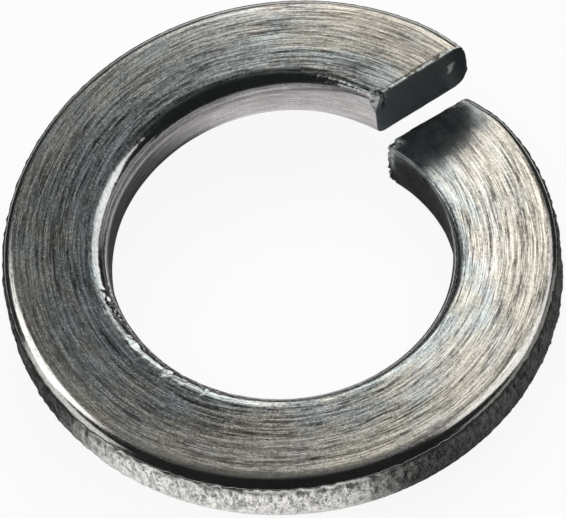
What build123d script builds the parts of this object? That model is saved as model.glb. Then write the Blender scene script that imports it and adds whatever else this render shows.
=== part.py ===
from build123d import *
import os

# A split spring lock washer for a 12 mm bolt, coiled from rectangular wire as one
# left-hand turn and sheared across. All sizes are in millimetres. The axis of the
# bore is Z, the split is at +X, and the lowest edge of the lower end is at Z = 0.

bore_diameter = 12.5
wire_width = 4.0          # across the ring, from the bore to the rim
wire_thickness = 2.35
free_height = 5.3         # from the lower end's underside to the upper end's top
rim_corner = 0.5          # rounding of the two edges at the rim
bore_corner = 0.5         # rounding of the two edges at the bore
split_gap = 1.2           # degrees about the axis that lie open at the split
split_skew = 15.6         # degrees by which the shear cut leans from the radial line

bore_radius = bore_diameter / 2
rim_radius = bore_radius + wire_width
wire_radius = bore_radius + wire_width / 2
swept_angle = 360 - split_gap
rise = free_height - wire_thickness
coil_pitch = rise * 360 / swept_angle
spare = 1.0               # how far the swept wire stands into the bore and past the rim

# The cut face stands upright, and its plane is turned from the radial line.
cut_plane = Plane(origin=(wire_radius, 0, 0), x_dir=(1, 0, 0), z_dir=(0, -1, 0))
cut_plane = cut_plane.rotated((0, 0, -split_skew))

with BuildPart() as lock_washer:
    with BuildLine():
        Helix(pitch=coil_pitch, height=rise, radius=wire_radius, lefthand=True)

    # The wire's flats, swept along the coil and then turned to the bore and the rim.
    with BuildSketch(cut_plane):
        Rectangle(wire_width + 2 * spare, wire_thickness, align=(Align.CENTER, Align.MIN))
    sweep(is_frenet=True)

    with BuildSketch(Plane.XY.offset(-spare)):
        Circle(rim_radius)
        Circle(bore_radius, mode=Mode.SUBTRACT)
    extrude(amount=free_height + 2 * spare, mode=Mode.INTERSECT)

    # The four edges that run along the wire are rounded, and the sheared ends stay sharp.
    long_edges = lock_washer.edges().sort_by(SortBy.LENGTH)[-4:]
    fillet(long_edges[:2], bore_corner)
    rim_edges = lock_washer.edges().sort_by(SortBy.LENGTH)[-2:]
    fillet(rim_edges, rim_corner)

lock_washer.part.label = "lock_washer"

os.makedirs("parts", exist_ok=True)
export_step(lock_washer.part, "parts/lock_washer.step")
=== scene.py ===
import math
import bpy
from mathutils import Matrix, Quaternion, Vector


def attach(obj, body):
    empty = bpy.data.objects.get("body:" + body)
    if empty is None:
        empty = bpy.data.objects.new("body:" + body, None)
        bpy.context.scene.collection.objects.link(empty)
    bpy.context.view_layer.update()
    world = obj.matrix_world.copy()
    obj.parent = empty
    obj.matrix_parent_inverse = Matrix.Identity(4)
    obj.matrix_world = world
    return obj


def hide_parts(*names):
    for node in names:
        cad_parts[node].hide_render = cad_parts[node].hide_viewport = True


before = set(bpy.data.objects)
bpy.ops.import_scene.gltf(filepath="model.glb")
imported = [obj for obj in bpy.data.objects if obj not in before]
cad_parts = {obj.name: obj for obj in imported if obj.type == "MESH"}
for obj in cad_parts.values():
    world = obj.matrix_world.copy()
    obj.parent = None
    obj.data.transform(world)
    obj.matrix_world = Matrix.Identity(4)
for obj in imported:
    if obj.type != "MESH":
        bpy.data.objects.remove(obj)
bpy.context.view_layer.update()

scene = bpy.context.scene
scene.view_settings.view_transform = "Standard"
millimetre = 0.001


class Socket:
    # an output socket that takes part in Python sums, each of which adds a Math node

    def __init__(self, net, socket):
        self.net = net
        self.socket = socket

    def math(self, operation, *others):
        numbers = {i + 1: other for i, other in enumerate(others)}
        return self.net.add("ShaderNodeMath", {"operation": operation}, {0: self, **numbers})[0]

    def __add__(self, other):
        return self.math("ADD", other)

    def __sub__(self, other):
        return self.math("SUBTRACT", other)

    def __mul__(self, other):
        return self.math("MULTIPLY", other)

    def __truediv__(self, other):
        return self.math("DIVIDE", other)

    def __pow__(self, other):
        return self.math("POWER", other)

    def __neg__(self):
        return self.math("MULTIPLY", -1.0)

    def __abs__(self):
        return self.math("ABSOLUTE")

    def __rsub__(self, other):
        return (-self) + other

    def __rtruediv__(self, other):
        return (self ** -1.0) * other

    __radd__ = __add__
    __rmul__ = __mul__

    def sin(self):
        return self.math("SINE")

    def cos(self):
        return self.math("COSINE")

    def least(self, other):
        return self.math("MINIMUM", other)

    def most(self, other):
        return self.math("MAXIMUM", other)

    def within(self, low, high):
        return self.most(low).least(high)

    def ramp(self, low, high):
        # 0 at low, 1 at high, with a smooth foot and shoulder
        sockets = {"Value": self, "From Min": low, "From Max": high}
        return self.net.add("ShaderNodeMapRange", {"interpolation_type": "SMOOTHSTEP"}, sockets)["Result"]


class Net:
    # a node tree that is built node by node

    def __init__(self, tree):
        self.tree = tree

    def add(self, kind, settings=None, sockets=None):
        node = self.tree.nodes.new(kind)
        for name, setting in (settings or {}).items():
            setattr(node, name, setting)
        for name, value in (sockets or {}).items():
            if isinstance(value, Socket):
                self.tree.links.new(value.socket, node.inputs[name])
            else:
                node.inputs[name].default_value = value
        return Node(self, node)


class Node:
    def __init__(self, net, node):
        self.net = net
        self.node = node

    def __getitem__(self, name):
        return Socket(self.net, self.node.outputs[name])


# the washer's shape, in millimetres

washerSizes = {
    "Bore Radius": 6.25,
    "Wire Width": 4.0,
    "Wire Thickness": 2.35,
    "Rise": 2.95,
    "Rim Corner": 0.5,
    "Bore Corner": 0.5,
    "Corner Flatness": 0.22,  # 0 leaves the four corners round, 1 makes them flat
    "End Bevel": 0.08,
    "Split Gap": math.radians(1.2),
    "Split Skew": math.radians(15.6),
    "Skin": 0.004,           # the whole surface stands this far inside its nominal size
    "Rim Ridges": 0.045,     # depth of the upright marks round the rim
    "Edge Nicks": 0.05,      # depth of the nicks along the inner edge
    "Low End Taper": 0.2,    # how far the rim draws in at the low end
    "High End Crown": 0.14,  # how far the rim's corners draw in at the high end
    "End Chips": 0.16,       # depth of the broken corners at the two ends
}
washerCounts = {"Along": 880, "Across": 36, "High": 19}
coilRadius = washerSizes["Bore Radius"] + washerSizes["Wire Width"] / 2
wireLength = (2 * math.pi - washerSizes["Split Gap"]) * coilRadius
halfWidth = washerSizes["Wire Width"] / 2
halfHeight = washerSizes["Wire Thickness"] / 2
creaseAngle = 0.8  # edges that bend more than this, in radians, are drawn sharp

washerWear = {
    # how far the grid's lines crowd towards the ends, the sides and the faces
    "crowdAlong": 0.06, "crowdAcross": 0.1, "crowdUp": 0.075,

    # stretches of the wire: the shares at which each begins, is full, fades and is gone
    "roundBore": (0.52, 0.64, 0.85, 0.95),
    "roundRim": (0.12, 0.27, 0.52, 0.64),
    "raggedEdge": (0.42, 0.47, 0.59, 0.62),

    # distances from an end, a side or a face: where each kind of wear starts, and where it is full
    "lowSharp": (10.0, 2.0), "highSharp": (4.0, 0.3),
    "lowTaper": (1.5, 0.0), "highCrown": (1.4, 0.0),
    "lowBreak": (0.85, 0.15), "highBreak": (0.55, 0.25),
    "endFringe": (0.25, 0.0), "lowFringe": (0.7, 0.3), "endFace": (0.02, 0.0),
    "rimWall": (0.06, -0.05), "boreWall": (0.5, 0.0), "topFace": (0.3, 0.0),
    "innerEdge": (0.75, 0.3), "nearBore": (0.55, 0.1),

    # how much sharper or rounder the corners are there, as shares of their size
    "lowSharpness": 0.82, "highSharpness": 0.55, "boreRounding": 0.28, "rimRounding": 0.26,

    # depths
    "brink": 0.22, "pebbles": 0.035, "rimDents": 0.03, "boreDents": 0.02,
    "endFringeDepth": 0.05, "lowFringeDepth": 0.09, "bevelDepth": 0.012, "endFaceDepth": 0.05,
}
wearNoises = {
    # scales along, across and up the wire, detail, seed
    "brink": (4.2, 0.0, 1.0, 2.0, 44.0),
    "ridges": (3.6, 1.0, 0.8, 2.0, 3.1),
    "dents": (0.9, 1.2, 1.1, 2.0, 8.4),
    "pebbles": (6.5, 3.0, 5.0, 1.0, 2.2),
    "nicks": (3.0, 3.4, 3.4, 2.0, 5.3),
    "chips": (3.0, 3.0, 3.0, 3.0, 11.9),
    "lumps": (6.5, 6.5, 6.5, 2.0, 61.0),
    "endFringe": (4.5, 3.0, 3.0, 2.0, 17.2),
    "lowFringe": (6.0, 5.0, 5.0, 2.0, 23.0),
    "endFace": (2.5, 2.5, 2.5, 3.0, 31.0),
}


def stretch(share, begins, full, fades, gone):
    return share.ramp(begins, full) * share.ramp(gone, fades)


def nearEdge(value, half, start, full):
    # 0 at the first distance inside the edge that lies at half, 1 at the second
    return value.ramp(half - start, half - full)


def washerTree(steel):
    tree = bpy.data.node_groups.new("splitWasher", "GeometryNodeTree")
    tree.interface.new_socket("Geometry", in_out="OUTPUT", socket_type="NodeSocketGeometry")
    for name in washerSizes:
        tree.interface.new_socket(name, in_out="INPUT", socket_type="NodeSocketFloat")
    for name in washerCounts:
        tree.interface.new_socket(name, in_out="INPUT", socket_type="NodeSocketInt")
    net = Net(tree)
    size = net.add("NodeGroupInput")
    wear = washerWear
    bore, width, thickness = size["Bore Radius"], size["Wire Width"], size["Wire Thickness"]

    block = net.add("GeometryNodeMeshCube", None, {
        "Vertices X": size["Along"], "Vertices Y": size["Across"], "Vertices Z": size["High"]})
    spot = net.add("ShaderNodeSeparateXYZ", None, {0: net.add("GeometryNodeInputPosition")[0]})
    wireRadius = bore + width / 2
    sweep = 2 * math.pi - size["Split Gap"]
    length = sweep * wireRadius

    # the grid runs from the low end to the high one, closer together near the ends and the long edges
    along = spot["X"] + 0.5 - (spot["X"] * 2 * math.pi + math.pi).sin() * wear["crowdAlong"]
    travel = along * length
    side = (spot["Y"] + (spot["Y"] * 2 * math.pi).sin() * wear["crowdAcross"]) * width
    up = (spot["Z"] + (spot["Z"] * 2 * math.pi).sin() * wear["crowdUp"]) * thickness

    # the corners are sharper near the two ends, and rounder in one stretch of the bore and one of the rim
    share = travel / length
    sharpLow = travel.ramp(*wear["lowSharp"]) * wear["lowSharpness"]
    sharpHigh = (length - travel).ramp(*wear["highSharp"]) * wear["highSharpness"]
    roundBore = stretch(share, *wear["roundBore"]) * wear["boreRounding"]
    boreCorner = size["Bore Corner"] * (1 - sharpLow - sharpHigh + roundBore)
    rimCorner = size["Rim Corner"] * (1 + stretch(share, *wear["roundRim"]) * wear["rimRounding"])
    atRim = side.math("GREATER_THAN", 0.0)
    corner = boreCorner + (rimCorner - boreCorner) * atRim

    # each long edge of the block is drawn in to a slightly flattened quarter circle; the tiny terms
    # keep the middle of the block from dividing by zero
    core = [side.within(corner - width / 2, width / 2 - corner),
            up.within(corner - thickness / 2, thickness / 2 - corner)]
    out = [side - core[0], up - core[1]]
    reach = (out[0] ** 2.0 + out[1] ** 2.0 + 1e-12) ** 0.5
    flatness = size["Corner Flatness"]
    rounded = (1 - flatness) / reach
    flattened = flatness / (abs(out[0]) + abs(out[1]) + 1e-6)
    pull = abs(out[0]).most(abs(out[1])) * (rounded + flattened)
    side = core[0] + out[0] * pull
    up = core[1] + out[1] * pull
    wirePoint = net.add("ShaderNodeCombineXYZ", None, {0: travel, 1: side, 2: up})

    def rough(name):
        scaleAlong, scaleSide, scaleUp, detail, seed = wearNoises[name]
        spread = net.add("ShaderNodeCombineXYZ", None, {
            0: travel * scaleAlong, 1: side * scaleSide, 2: up * scaleUp})
        return net.add("ShaderNodeTexNoise", {"noise_dimensions": "4D"}, {
            "Vector": spread[0], "W": seed, "Scale": 1.0, "Detail": detail, "Roughness": 0.55})[0]

    # upright marks round the rim, and a slow unevenness of the whole wire
    rimWall = nearEdge(side + rough("brink") * wear["brink"], width / 2, *wear["rimWall"])
    boreWall = nearEdge(-side, width / 2, *wear["boreWall"])
    topFace = nearEdge(up, thickness / 2, *wear["topFace"])
    ridges = rough("ridges").ramp(0.36, 0.66)
    dents = rough("dents")
    pebbles = rough("pebbles").ramp(0.35, 0.65)
    worn = size["Skin"] + (size["Rim Ridges"] * ridges + pebbles * wear["pebbles"]) * rimWall
    worn = worn + dents * wear["rimDents"] * rimWall + dents * wear["boreDents"] * boreWall

    # nicks along the inner top edge, deep in one stretch and faint elsewhere
    innerEdge = boreWall.most(nearEdge(-side, width / 2, *wear["innerEdge"]))
    innerEdge = innerEdge * up.ramp(0.2, thickness / 2 - 0.25)
    ragged = stretch(share, *wear["raggedEdge"])
    nicks = rough("nicks").ramp(0.48, 0.7) * innerEdge * (ragged + 0.1)
    worn = worn + size["Edge Nicks"] * nicks

    # the low end's rim draws in and its bore corner is broken; the high end has a chip in its bore corner
    toLow = travel
    toHigh = length - travel
    lowRim = size["Low End Taper"] * toLow.ramp(*wear["lowTaper"]) * side.ramp(0.6, width / 2)
    chipNoise = rough("chips")
    nearBore = nearEdge(-side, width / 2, *wear["nearBore"])
    lumps = rough("lumps").ramp(0.35, 0.65)
    lowChip = (toLow + chipNoise * 0.5).ramp(*wear["lowBreak"]) * nearBore
    lowChip = lowChip * (up.ramp(-0.6, 0.9) * 0.35 + lumps * 0.9)
    highChip = (toHigh + chipNoise * 0.5).ramp(*wear["highBreak"]) * nearBore * up.ramp(0.2, 0.8)
    chips = size["End Chips"] * (lowChip * (0.6 + chipNoise) + highChip * 0.8)

    # a rough fringe and a fine bevel round both sheared faces, and a rougher fringe at the low bore corner
    fringe = toLow.ramp(*wear["endFringe"]) + toHigh.ramp(*wear["endFringe"])
    burr = fringe * rough("endFringe").ramp(0.35, 0.7) * wear["endFringeDepth"]
    lowFringe = toLow.ramp(*wear["lowFringe"]) * (-side).ramp(1.5, 1.9)
    burr = burr + lowFringe * rough("lowFringe").ramp(0.4, 0.6) * wear["lowFringeDepth"]
    bevel = toLow.ramp(size["End Bevel"], 0.0) + toHigh.ramp(size["End Bevel"], 0.0)
    worn = worn + chips + burr * up.ramp(0.4, 1.0) + bevel * wear["bevelDepth"]

    # the surface goes in by its wear, towards the wire's middle line
    inward = (side * 1.4).within(-1.0, 1.0)
    outerParts = side.ramp(0.4, width / 2) + (-side).ramp(0.4, width / 2)
    side = side - inward * outerParts * worn
    side = side - lowRim
    crown = toHigh.ramp(*wear["highCrown"]) * side.ramp(0.9, width / 2) * (up * 2.0 / thickness) ** 2.0
    side = side - size["High End Crown"] * crown * (1.0 - up * 0.35)
    up = up - (up * 2.0).within(-1.0, 1.0) * (worn * (topFace * 0.6 + 0.4))
    endWear = rough("endFace") * wear["endFaceDepth"] + size["Skin"]
    travel = travel + endWear * toLow.ramp(*wear["endFace"]) - endWear * toHigh.ramp(*wear["endFace"])

    # the straight wire is wound round the bore, and its ends are sheared at a slant
    radius = side + wireRadius
    skewed = (wireRadius * size["Split Skew"].sin() / radius).math("ARCSINE") - size["Split Skew"]
    angle = skewed - sweep * (travel / length)
    height = size["Rise"] * (travel / length) + up + thickness / 2
    place = net.add("ShaderNodeCombineXYZ", None, {
        0: radius * angle.cos() * millimetre, 1: radius * angle.sin() * millimetre, 2: height * millimetre})
    stored = net.add("GeometryNodeStoreNamedAttribute", {"data_type": "FLOAT_VECTOR", "domain": "POINT"}, {
        "Geometry": block["Mesh"], "Name": "wirePoint", "Value": wirePoint[0]})
    moved = net.add("GeometryNodeSetPosition", None, {"Geometry": stored[0], "Position": place[0]})
    smooth = net.add("GeometryNodeSetShadeSmooth", {"domain": "FACE"}, {"Geometry": moved[0]})
    bend = net.add("GeometryNodeInputMeshEdgeAngle")["Unsigned Angle"].math("GREATER_THAN", creaseAngle)
    creased = net.add("GeometryNodeSetShadeSmooth", {"domain": "EDGE"}, {
        "Geometry": smooth[0], "Selection": bend, "Shade Smooth": False})
    real = net.add("GeometryNodeRealizeInstances", None, {"Geometry": creased[0]})
    dressed = net.add("GeometryNodeSetMaterial", None, {"Geometry": real[0], "Material": steel})
    net.add("NodeGroupOutput", None, {0: dressed[0]})
    return tree


def makeWasher(steel):
    carrier = bpy.data.objects.new("washerCarrier", bpy.data.meshes.new("washerCarrier"))
    scene.collection.objects.link(carrier)
    modifier = carrier.modifiers.new("shape", "NODES")
    modifier.node_group = washerTree(steel)
    inputs = {**washerSizes, **washerCounts}
    for item in modifier.node_group.interface.items_tree:
        if item.in_out == "INPUT":
            modifier[item.identifier] = inputs[item.name]
    shown = carrier.evaluated_get(bpy.context.evaluated_depsgraph_get())
    mesh = bpy.data.meshes.new_from_object(shown)
    mesh.name = "lockWasherSteel"
    bpy.data.objects.remove(carrier)
    washer = bpy.data.objects.new("lockWasherSteel", mesh)
    scene.collection.objects.link(washer)
    return washer


# the worn steel

steelLook = {
    "light": (0.67, 0.66, 0.64, 1),
    "warm": (0.67, 0.62, 0.53, 1),
    "cool": (0.46, 0.55, 0.58, 1),
    "shear": (0.33, 0.37, 0.39, 1),
    "dark": (0.31, 0.35, 0.33, 1),
    "bore": (0.60, 0.56, 0.56, 1),
    "burr": (0.86, 0.9, 0.84, 1),
    "streakContrast": 2.7,
    "hairContrast": 2.6,
    "scratchContrast": 0.55,
    "glintContrast": 0.5,
    "speckleContrast": 1.9,
    "wallContrast": 1.2,
    "flatDull": 0.08,         # how much of the flats is matt instead of metallic
    "wallDull": 0.1,
    "endDull": 0.15,
    "tornDull": 0.35,
    "flatRoughness": 0.25,
    "edgeRoughness": 0.13,
    "wallRoughness": 0.3,
    "scratchDepth": 0.012,    # millimetres
    "stainEdge": (2.4, 1.5),  # distance from the low end where the stain ends, and where it is full
    "stainSlant": 0.43,       # how much sooner it ends at the rim
    "endFaceEdge": (0.03, 0.01),
    "flatEdge": (0.07, 0.01), "wallEdge": (0.16, 0.03),
    "coolStretch": (0.4, 0.5, 0.86, 0.93),
    "coolAmount": 0.66, "warmAmount": 0.7, "boreAmount": 0.7, "darkAmount": 0.8,
    "stainAmount": 0.94, "stainTint": 0.8, "crackDarkness": 0.85, "tornPaleness": 0.25,
    "shadeRange": (0.12, 1.5), "leastShade": 0.05,
    "meanShade": 0.9, "stainShade": 0.6, "endShade": 0.72,
    "speckleRoughness": 0.12, "streakRoughness": 0.14, "tornRoughness": 0.2, "endRoughness": 0.2,
    "roughnessRange": (0.12, 0.6), "bumpStrength": 0.5,
}
steelNoises = {
    # scales along and across the wire, detail, seed, roughness
    "streaks": (0.3, 8.5, 3.0, 1.7, 0.7),
    "hairs": (0.9, 21.0, 2.0, 9.2, 0.7),
    "speckle": (9.0, 11.0, 2.0, 4.4, 0.75),
    "blotch": (0.35, 0.5, 2.0, 6.1, 0.6),
    "marks": (7.5, 2.2, 3.0, 12.5, 0.8),
    "sparkle": (13.0, 12.0, 1.0, 51.0, 0.6),
    "scratches": (0.28, 5.0, 2.0, 33.0, 0.6),
    "glints": (0.33, 6.0, 2.0, 41.0, 0.6),
    "mottle": (1.6, 1.6, 3.0, 71.0, 0.7),
    "cool": (0.3, 0.45, 3.0, 14.0, 0.6),
    "warm": (0.5, 1.1, 3.0, 19.0, 0.6),
    "torn": (5.0, 5.5, 3.0, 27.0, 0.6),
    "tear": (3.0, 3.0, 3.0, 53.0, 0.6),
}


def mixColour(net, factor, first, second, blend="MIX"):
    settings = {"data_type": "RGBA", "blend_type": blend, "clamp_factor": True}
    return net.add("ShaderNodeMix", settings, {0: factor, 6: first, 7: second})[2]


def emptyMaterial(name):
    material = bpy.data.materials.new(name)
    material.use_nodes = True
    material.node_tree.nodes.clear()
    return material, Net(material.node_tree)


def steelMaterial():
    material, net = emptyMaterial("wornSteel")
    look = steelLook
    stored = {"attribute_type": "GEOMETRY", "attribute_name": "wirePoint"}
    wire = net.add("ShaderNodeAttribute", stored)["Vector"]
    parts = net.add("ShaderNodeSeparateXYZ", None, {0: wire})
    travel, side, up = parts[0], parts[1], parts[2]
    share = travel / wireLength

    def noise(name):
        scaleAlong, scaleAcross, detail, seed, roughness = steelNoises[name]
        spread = net.add("ShaderNodeVectorMath", {"operation": "MULTIPLY"}, {
            0: wire, 1: (scaleAlong, scaleAcross, scaleAcross)})[0]
        return net.add("ShaderNodeTexNoise", {"noise_dimensions": "4D"}, {
            "Vector": spread, "W": seed, "Scale": 1.0, "Detail": detail, "Roughness": roughness})[0]

    flat = nearEdge(up, halfHeight, *look["flatEdge"]) + nearEdge(-up, halfHeight, *look["flatEdge"])
    wall = nearEdge(side, halfWidth, *look["wallEdge"])
    boreWall = nearEdge(-side, halfWidth, *look["wallEdge"])
    highFace = nearEdge(travel, wireLength, *look["endFaceEdge"])
    shear = travel.ramp(*look["endFaceEdge"]) + highFace

    # long scratches along the wire, with fine grain between them, and mottled marks on the rim
    streaks = noise("streaks")
    hairs = noise("hairs")
    speckle = noise("speckle")
    marks = (noise("marks").ramp(0.36, 0.62) - 0.5) * (0.45 + up.ramp(-1.1, 0.3) * 0.55)
    sparkle = noise("sparkle").ramp(0.6, 0.72)
    scored = (streaks - 0.5) * look["streakContrast"] + (hairs - 0.5) * look["hairContrast"]
    scratches = abs(noise("scratches") - 0.5).ramp(0.035, 0.0) * (speckle * 1.6).within(0.0, 1.0)
    glints = abs(noise("glints") - 0.52).ramp(0.03, 0.0) * hairs * 1.6
    scored = scored - scratches * look["scratchContrast"] + glints * look["glintContrast"]
    speckled = (speckle - 0.5) * look["speckleContrast"] * (0.5 + flat * 0.5 + wall * 0.5)
    grain = scored * (flat + boreWall * 0.4) + speckled

    # painted sheen makes the flats paler towards the rim, most of all in one strip, and painted shade makes
    # them darker near the high end
    sheenStrip = side.ramp(0.95, 1.35) * share.ramp(0.6, 0.45)
    rimSheen = (side * 0.09 + sheenStrip * 0.62) * share.ramp(0.2, 0.34) * flat
    nearHigh = travel.ramp(wireLength - 7.0, wireLength - 1.5) * flat
    # painted shade darkens the flats near the high end, where their scratches are also fainter
    grain = grain * (1 - nearHigh * 0.35) + (noise("blotch") - 0.5) * 0.6 - nearHigh * 0.3 + rimSheen
    mottle = noise("mottle") - 0.5
    grain = grain + mottle * boreWall * travel.ramp(8.0, 3.0) * 2.0
    grain = grain + marks * wall * look["wallContrast"] + sparkle * wall * 0.6
    shade = (grain + look["meanShade"]).within(*look["shadeRange"])

    # the stain at the low end and the sheared faces cover the scratches
    stainReach = travel + side * look["stainSlant"] + (streaks - 0.5) * 0.6 + mottle * 2.2
    stain = stainReach.ramp(*look["stainEdge"]) * flat
    stained = look["stainShade"] + (speckle - 0.5) * 0.5 + mottle * 1.3
    shade = shade + (stained - shade) * stain * look["stainAmount"]
    sheared = look["endShade"] - side * 0.1 - up * 0.1 + (speckle - 0.5) * 0.4
    shade = (shade + (sheared - shade) * shear).most(look["leastShade"])

    # cool and warm tints, cooler on one stretch of the ring
    coolSide = stretch(share, *look["coolStretch"])
    coolness = (noise("cool") - side * 0.12 + coolSide * 0.22).ramp(0.45, 0.7)
    warmth = (noise("warm") + side * 0.07 - coolSide * 0.12).ramp(0.32, 0.6)
    coolness, warmth = coolness * (0.25 + flat * 0.75), warmth * (0.25 + flat * 0.75)
    colour = mixColour(net, coolness * look["coolAmount"], look["light"], look["cool"])
    colour = mixColour(net, warmth * look["warmAmount"], colour, look["warm"])
    colour = mixColour(net, boreWall * look["boreAmount"], colour, look["bore"])
    darkBore = boreWall * travel.ramp(7.0, 3.0)
    colour = mixColour(net, darkBore * look["darkAmount"], colour, look["dark"])
    colour = mixColour(net, shear.most(stain * look["stainTint"]), colour, look["shear"])

    # pale torn metal along the end's top edge and on the broken bore corners
    atHigh, atLow = travel.ramp(wireLength - 0.18, wireLength - 0.08), travel.ramp(0.75, 0.35)
    boreEdge = (-side).ramp(halfWidth - 0.75, halfWidth - 0.4) * up.ramp(-0.5, 0.3)
    highCorner = travel.ramp(wireLength - 0.65, wireLength - 0.45) * (-side).ramp(1.35, 1.6)
    highCorner = highCorner * up.ramp(0.4, 0.7)
    torn = atHigh * up.ramp(1.0, 1.12) * 1.3 + atLow * boreEdge + highCorner
    torn = (torn * noise("torn").ramp(0.42, 0.53)).within(0.0, 1.0) * (1 - shear * 0.7)

    # a bright nick and a dark crack in the high end's face
    tear = noise("tear") - 0.5
    nick = ((side - 1.2 + tear * 0.6 - up * 0.25) * 6.0) ** 2.0 + ((up - 0.15) * 3.2) ** 2.0
    torn = torn.most(nick.ramp(1.2, 0.3) * highFace)
    crack = abs(side + 1.68 + tear * 0.5).ramp(0.1, 0.03) * up.ramp(0.0, 0.5)
    crack = crack * travel.ramp(wireLength - 0.5, wireLength - 0.3)
    colour = mixColour(net, torn, colour, look["burr"])
    shade = (shade + torn * look["tornPaleness"]) * (1 - crack * look["crackDarkness"])
    grey = net.add("ShaderNodeCombineColor", None, {0: shade, 1: shade, 2: shade})[0]
    colour = mixColour(net, 1.0, colour, grey, "MULTIPLY")

    roughness = look["edgeRoughness"] + flat * (look["flatRoughness"] - look["edgeRoughness"])
    roughness = roughness + (wall + boreWall) * (look["wallRoughness"] - look["edgeRoughness"])
    roughness = roughness + (speckle - 0.5) * look["speckleRoughness"]
    roughness = roughness + (streaks - 0.5) * look["streakRoughness"] * flat
    roughness = roughness + torn * look["tornRoughness"] + shear * look["endRoughness"]
    roughness = roughness.within(*look["roughnessRange"])

    height = streaks * flat * 0.6 + hairs * flat * 0.5 + speckle * 0.35 + marks * wall * 0.6
    bump = net.add("ShaderNodeBump", None, {
        "Strength": look["bumpStrength"], "Distance": look["scratchDepth"] * millimetre, "Height": height})
    dull = flat * look["flatDull"] + (wall + boreWall) * look["wallDull"]
    metal = 1 - (dull + shear * look["endDull"] + torn * look["tornDull"]).within(0.0, 1.0)
    shader = net.add("ShaderNodeBsdfPrincipled", None, {
        "Base Color": colour, "Metallic": metal, "Roughness": roughness, "Normal": bump[0]})
    net.add("ShaderNodeOutputMaterial", None, {"Surface": shader[0]})
    return material


# light, floor and camera

viewSettings = {"azimuth": -39.55, "elevation": 57.07, "roll": -10.0, "distance": 0.1781, "lens": 307.1,
                "aim": (0.00063, 0.00070, 0.00118), "sensor": 36, "clip": (0.01, 10)}


def fromHere(azimuth, elevation):
    # direction to a lamp: 0 lies beyond the washer, 90 on the right
    turn = math.radians(azimuth - viewSettings["azimuth"])
    lift = math.radians(elevation)
    return Vector((math.sin(turn) * math.cos(lift), math.cos(turn) * math.cos(lift), math.sin(lift)))


softboxes = {
    "backBox": {"azimuth": 12, "elevation": 35.6, "width": 30, "height": 38, "roll": -27, "glow": 1.62,
                "tint": (1.0, 0.98, 0.94)},
    "rightBox": {"azimuth": 70, "elevation": 48, "width": 44, "height": 34, "roll": 0, "glow": 1.25},
    "rightLowBox": {"azimuth": 98, "elevation": 17, "width": 56, "height": 18, "roll": 0, "glow": 0.3},
    "leftLowBox": {"azimuth": -95, "elevation": 23, "width": 36, "height": 28, "roll": 0, "glow": 0.9},
    "leftBox": {"azimuth": -69, "elevation": 46, "width": 29, "height": 26, "roll": 0, "glow": 1.9},
}
lampDistance = 0.4


def makeSoftbox(name, azimuth, elevation, width, height, roll, glow, tint=(1, 1, 1)):
    lamp = bpy.data.lights.new(name, "AREA")
    lamp.shape = "RECTANGLE"
    lamp.size = 2 * lampDistance * math.tan(math.radians(width / 2))
    lamp.size_y = 2 * lampDistance * math.tan(math.radians(height / 2))
    lamp.color = tint
    lamp.energy = glow * math.pi * lamp.size * lamp.size_y
    box = bpy.data.objects.new(name, lamp)
    toLamp = fromHere(azimuth, elevation)
    box.location = toLamp * lampDistance
    aimed = toLamp.to_track_quat("Z", "Y") @ Quaternion((0, 0, 1), math.radians(roll))
    box.rotation_euler = aimed.to_euler()
    scene.collection.objects.link(box)


fillSettings = {"height": 0.6, "size": 1.2, "glow": 0.85, "tint": (0.92, 0.98, 1.0)}


def makeFill():
    # an overhead sheet for the matt parts alone, so that it draws no stripe in the polished edges
    lamp = bpy.data.lights.new("fillSheet", "AREA")
    lamp.shape = "SQUARE"
    lamp.color = fillSettings["tint"]
    lamp.size = fillSettings["size"]
    lamp.energy = fillSettings["glow"] * math.pi * lamp.size ** 2
    sheet = bpy.data.objects.new("fillSheet", lamp)
    sheet.location = (0, 0, fillSettings["height"])
    sheet.visible_glossy = False
    scene.collection.objects.link(sheet)


worldSettings = {"tint": (0.9, 0.99, 1, 1), "glow": 0.02, "groundGlow": 0.9, "horizon": (0.12, -0.1)}


def makeWorld():
    # nearly dark overhead, and pale from the horizon down
    world = bpy.data.worlds.new("studio")
    world.use_nodes = True
    world.node_tree.nodes.clear()
    scene.world = world
    net = Net(world.node_tree)
    toSky = net.add("ShaderNodeSeparateXYZ", None, {0: net.add("ShaderNodeTexCoord")["Generated"]})
    glow = worldSettings["glow"] + toSky["Z"].ramp(*worldSettings["horizon"]) * worldSettings["groundGlow"]
    background = net.add("ShaderNodeBackground", None, {"Color": worldSettings["tint"], "Strength": glow})
    net.add("ShaderNodeOutputWorld", None, {"Surface": background[0]})


def makeSheet(name, reach, lift, material):
    # a level square sheet about the middle, in metres
    mesh = bpy.data.meshes.new(name)
    corners = [(-reach, -reach, lift), (reach, -reach, lift), (reach, reach, lift), (-reach, reach, lift)]
    mesh.from_pydata(corners, [], [(0, 1, 2, 3)])
    mesh.materials.append(material)
    sheet = bpy.data.objects.new(name, mesh)
    scene.collection.objects.link(sheet)
    return sheet


floorSettings = {"reach": 3.0, "colour": (0.9, 0.9, 0.9, 1), "whiteness": 0.9}


def makeFloor():
    # white to the eye and in reflections, but for a share that stays matt and takes the washer's shadow
    material, net = emptyMaterial("paleFloor")
    path = net.add("ShaderNodeLightPath")
    seen = path["Is Camera Ray"].most(path["Is Glossy Ray"]).most(path["Is Transmission Ray"])
    matte = net.add("ShaderNodeBsdfDiffuse", None, {"Color": floorSettings["colour"]})
    white = net.add("ShaderNodeEmission", None, {"Color": (1, 1, 1, 1), "Strength": 1.0})
    mixed = net.add("ShaderNodeMixShader", None, {
        0: seen * floorSettings["whiteness"], 1: matte[0], 2: white[0]})
    net.add("ShaderNodeOutputMaterial", None, {"Surface": mixed[0]})
    floor = makeSheet("floor", floorSettings["reach"], 0, material)


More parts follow.
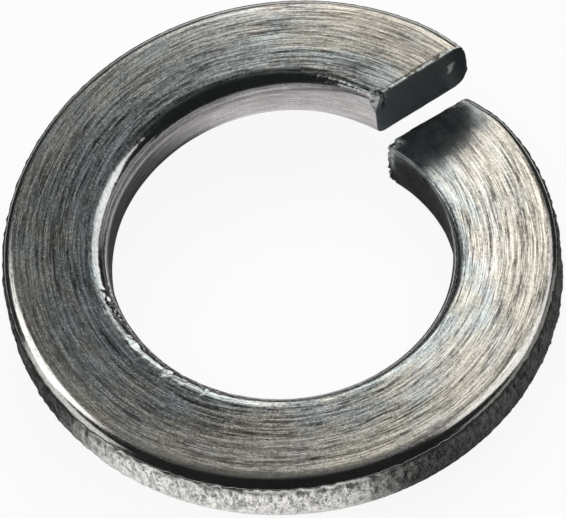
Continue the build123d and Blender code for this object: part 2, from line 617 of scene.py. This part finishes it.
shadeSettings = {
    "reach": 90.0, "fade": 34.0, "height": 0.02, "glow": 0.03,
    "boreEdge": (7.5, 8.5),         # radius at which the bore's openings end
    "frontLeftEdge": (19.0, 14.0),  # radius at which the opening at the front left ends
    "evenReach": 1.3, "leftReach": 1.6, "nearReach": 1.3,
    "towards": {"far": 12, "frontLeft": -156, "left": -75, "right": 122},
}


def makeShadeCard():
    # a dark sheet round the washer's foot that only its reflections show; it reaches further to the left,
    # to the right and to the front, and the pale floor shows through it in the far and near parts of the
    # bore and outside the rim at the front left
    material, net = emptyMaterial("shadeCard")
    spot = net.add("ShaderNodeSeparateXYZ", None, {0: net.add("ShaderNodeTexCoord")["Object"]})
    x, y = spot["X"] / millimetre, spot["Y"] / millimetre
    radius = (x ** 2.0 + y ** 2.0) ** 0.5

    def facing(name):
        # 1 straight towards that side, -1 straight away from it
        toward = fromHere(shadeSettings["towards"][name], 0)
        return (x * toward.x + y * toward.y) / radius

    far, frontLeft, left, right = facing("far"), facing("frontLeft"), facing("left"), facing("right")
    outside = radius.ramp(*shadeSettings["boreEdge"])
    bright = (far.ramp(0.86, 0.98) * radius.ramp(1.5, 3.0) + far.ramp(-0.2, -0.6)) * (1 - outside)
    bright = bright + frontLeft.ramp(0.7, 0.95) * outside * radius.ramp(*shadeSettings["frontLeftEdge"])
    near = right.ramp(0.2, 0.8).most((-far).ramp(0.3, 0.9))
    leftward = shadeSettings["evenReach"] + left.ramp(0.3, 0.8) * shadeSettings["leftReach"]
    stretched = radius / (leftward + near * shadeSettings["nearReach"])
    bright = bright.most(stretched.ramp(shadeSettings["fade"] * 0.5, shadeSettings["fade"]))
    dark = net.add("ShaderNodeEmission", None, {"Color": (1, 1, 1, 1), "Strength": shadeSettings["glow"]})
    clear = net.add("ShaderNodeBsdfTransparent")
    mixed = net.add("ShaderNodeMixShader", None, {0: bright, 1: dark[0], 2: clear[0]})
    net.add("ShaderNodeOutputMaterial", None, {"Surface": mixed[0]})
    reach, lift = shadeSettings["reach"] * millimetre, shadeSettings["height"] * millimetre
    card = makeSheet("shadeCard", reach, lift, material)
    card.visible_camera = False
    card.visible_diffuse = False
    card.visible_shadow = False
    card.visible_transmission = False


def makeCamera():
    camera = bpy.data.cameras.new("camera")
    camera.lens = viewSettings["lens"]
    camera.sensor_width = viewSettings["sensor"]
    camera.clip_start, camera.clip_end = viewSettings["clip"]
    holder = bpy.data.objects.new("camera", camera)
    turn, lift = math.radians(viewSettings["azimuth"]), math.radians(viewSettings["elevation"])
    back = Vector((math.sin(turn) * math.cos(lift), -math.cos(turn) * math.cos(lift), math.sin(lift)))
    centre = Vector((0, 0, halfHeight * millimetre))
    holder.location = centre + back * viewSettings["distance"]
    toward = Vector(viewSettings["aim"]) - holder.location
    level = toward.to_track_quat("-Z", "Y")
    holder.rotation_mode = "QUATERNION"
    holder.rotation_quaternion = level @ Quaternion((0, 0, 1), math.radians(viewSettings["roll"]))
    scene.collection.objects.link(holder)
    scene.camera = holder


washer = makeWasher(steelMaterial())
print("washer", len(washer.data.polygons), "faces")
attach(washer, "root")
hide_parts("lock_washer")
for name, setting in softboxes.items():
    makeSoftbox(name, **setting)
makeFill()
makeWorld()
makeFloor()
makeShadeCard()
makeCamera()
print("studio ready")
